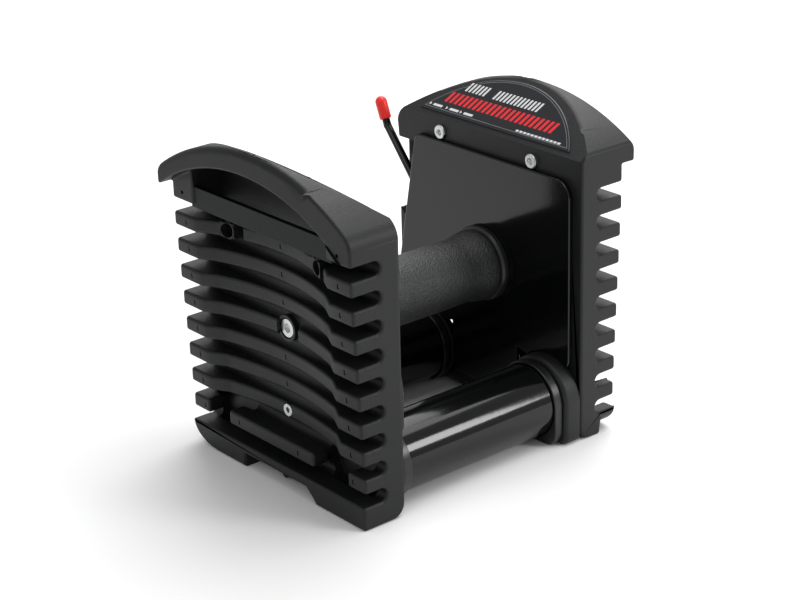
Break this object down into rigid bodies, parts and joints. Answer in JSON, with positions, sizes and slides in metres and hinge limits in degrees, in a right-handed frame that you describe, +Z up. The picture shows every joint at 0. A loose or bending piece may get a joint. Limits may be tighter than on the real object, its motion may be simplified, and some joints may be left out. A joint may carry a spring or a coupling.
{
  "type": "adjustable dumbbell",
  "caption": "Handle core of an adjustable dumbbell: ribbed end housings joined by a rubber grip and two side tubes holding loose weights, with a swinging lock lever.",
  "frame": {"origin": "on the floor, under the middle of the grip", "axes": "+X along the grip towards the end with the lock lever, +Y across it towards the side where the lever's red tip stands out, +Z up"},
  "size_m": [0.212, 0.1759, 0.1913],
  "materials": {
    "shell_plastic": "fine moulded grain",
    "black_enamel": "gloss black enamel",
    "strap_steel": "dull dark plating",
    "label": "clear domed gloss over charcoal",
    "core_steel": "turned",
    "grip_rubber": "fine dimpled texture",
    "flange_plastic": "satin",
    "zinc": "zinc plated",
    "black_oxide": "black oxide",
    "ring_rubber": "satin",
    "plug_plastic": "satin",
    "weight_steel": "turned, oiled",
    "bush_brass": "turned",
    "spring_steel": "bright wire",
    "lock_steel": "stamped, zinc plated",
    "red_vinyl": "dipped vinyl"
  },
  "bodies": {
    "core": {"left_end_shell": "shell_plastic", "left_inner_plate": "black_enamel", "left_top_strap": "strap_steel", "left_label_panel": "label", "left_grip_flange": "flange_plastic", "left_handle_bolt": "zinc", "left_bolt_washer": "zinc", "left_top_screws": "zinc", "left_plate_screws": "black_oxide", "left_plate_nuts": "zinc", "left_bottom_screw": "black_oxide", "left_tube_rings": "ring_rubber", "right_end_shell": "shell_plastic", "right_inner_plate": "black_enamel", "right_top_strap": "strap_steel", "right_label_panel": "label", "right_grip_flange": "flange_plastic", "right_handle_bolt": "zinc", "right_bolt_washer": "zinc", "right_top_screws": "zinc", "right_plate_screws": "black_oxide", "right_plate_nuts": "zinc", "right_bottom_screw": "black_oxide", "right_tube_rings": "ring_rubber", "grip_core": "core_steel", "grip_sleeve": "grip_rubber", "left_centre_screw": "zinc", "lock_pivot_screw": "zinc", "front_side_tube": "black_enamel", "rear_side_tube": "black_enamel", "left_tube_plugs": "plug_plastic", "lock_pivot_bush": "bush_brass", "lock_return_spring": "spring_steel"},
    "lock": {"lock_plate": "lock_steel", "lock_rod": "black_enamel", "lock_rod_tip": "red_vinyl"},
    "front_weight": {"front_adder_weight": "weight_steel", "front_weight_cap": "plug_plastic"},
    "rear_weight": {"rear_adder_weight": "weight_steel", "rear_weight_cap": "plug_plastic"}
  },
  "joints": [
    {"name": "lock_swing", "type": "hinge", "parent": "core", "child": "lock", "pos_m": [0.0711, 0, 0.04102], "axis": [1, 0, 0], "range_deg": [-9, 0], "stiffness_Nm_per_rad": 1.5, "springref_deg": 20.05},
    {"name": "front_weight_slide", "type": "slide", "parent": "core", "child": "front_weight", "axis": [1, 0, 0], "range_m": [0, 0.003]},
    {"name": "rear_weight_slide", "type": "slide", "parent": "core", "child": "rear_weight", "axis": [1, 0, 0], "range_m": [0, 0.003]}
  ]
}
